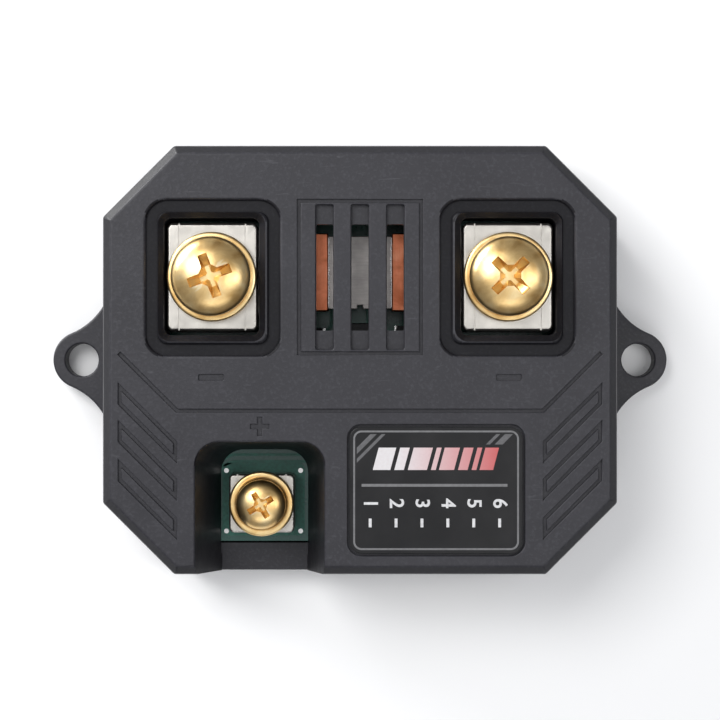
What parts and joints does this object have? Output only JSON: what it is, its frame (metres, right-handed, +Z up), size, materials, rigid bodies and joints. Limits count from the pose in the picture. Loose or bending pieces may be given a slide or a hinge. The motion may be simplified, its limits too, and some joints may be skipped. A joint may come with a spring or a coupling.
{
  "type": "battery monitor shunt",
  "caption": "Low-side current sensing module in an octagonal black case with mounting ears, screw terminals in wells, a sense terminal in a side notch and a data socket.",
  "frame": {"origin": "centre of the overall bounding box in plan, on the flat underside of the base tray", "axes": "+X runs along the two mounting ears towards the right-hand heavy terminal, +Y points away from the data socket and the open sense notch, +Z points up out of the screw wells"},
  "size_m": [0.082, 0.0558, 0.0221],
  "materials": {
    "case": "charcoal moulded plastic with a fine spark texture",
    "label_film": "black printed polyester film, satin",
    "board_laminate": "dark green solder mask over glass laminate",
    "bare_copper": "bare copper bar, lightly oxidised",
    "manganin": "grey copper-manganese alloy strip, rolled",
    "tinned_metal": "tin plated brass, satin",
    "terminal_brass": "yellow passivated, semi-polished",
    "pin_brass": "bright plated contact pin",
    "ivory_nylon": "ivory nylon, moulded",
    "chip_epoxy": "matt moulding compound with tinned leads",
    "capacitor_can": "drawn aluminium can on a dark foot",
    "zinc_steel": "zinc plated steel"
  },
  "bodies": {
    "housing": {"amplifier_chip": "chip_epoxy", "base_tray": "case", "cable_socket": "ivory_nylon", "case_screw_1": "zinc_steel", "case_screw_2": "zinc_steel", "case_screw_3": "zinc_steel", "case_screw_4": "zinc_steel", "circuit_board": "board_laminate", "controller_chip": "chip_epoxy", "copper_bar_left": "bare_copper", "copper_bar_right": "bare_copper", "filter_capacitor_1": "capacitor_can", "filter_capacitor_2": "capacitor_can", "label_plate": "label_film", "manganin_strip": "manganin", "regulator_chip": "chip_epoxy", "sense_tap_left": "tinned_metal", "sense_tap_right": "tinned_metal", "sense_terminal_block": "tinned_metal", "socket_pin_1": "pin_brass", "socket_pin_2": "pin_brass", "socket_pin_3": "pin_brass", "socket_pin_4": "pin_brass", "socket_pin_5": "pin_brass", "socket_pin_6": "pin_brass", "terminal_block_left": "tinned_metal", "terminal_block_right": "tinned_metal", "timing_crystal": "zinc_steel", "top_cover": "case", "transceiver_chip": "chip_epoxy"},
    "left_washer": {"terminal_washer_left": "terminal_brass"},
    "left_screw": {"terminal_screw_left": "terminal_brass"},
    "right_washer": {"terminal_washer_right": "terminal_brass"},
    "right_screw": {"terminal_screw_right": "terminal_brass"},
    "sense_washer": {"sense_terminal_washer": "terminal_brass"},
    "sense_screw": {"sense_terminal_screw": "terminal_brass"}
  },
  "joints": [
    {"name": "left_screw_turn", "type": "hinge", "parent": "left_washer", "child": "left_screw", "pos_m": [-0.0187, 0.0105, 0.0187], "axis": [0, 0, 1], "range_deg": [0, 2705]},
    {"name": "left_screw_lift", "type": "slide", "parent": "housing", "child": "left_washer", "axis": [0, 0, 1], "range_m": [0, 0.0075]},
    {"name": "right_screw_turn", "type": "hinge", "parent": "right_washer", "child": "right_screw", "pos_m": [0.0187, 0.0105, 0.0187], "axis": [0, 0, 1], "range_deg": [0, 2705]},
    {"name": "right_screw_lift", "type": "slide", "parent": "housing", "child": "right_washer", "axis": [0, 0, 1], "range_m": [0, 0.0075]},
    {"name": "sense_screw_turn", "type": "hinge", "parent": "sense_washer", "child": "sense_screw", "pos_m": [-0.01275, -0.0186, 0.0119], "axis": [0, 0, 1], "range_deg": [0, 1985]},
    {"name": "sense_screw_lift", "type": "slide", "parent": "housing", "child": "sense_washer", "axis": [0, 0, 1], "range_m": [0, 0.00385]}
  ],
  "couplings": [
    {"joint": "left_screw_turn", "follows": "left_screw_lift", "rad_per_m": 6283.2},
    {"joint": "right_screw_turn", "follows": "right_screw_lift", "rad_per_m": 6283.2},
    {"joint": "sense_screw_turn", "follows": "sense_screw_lift", "rad_per_m": 8976}
  ]
}
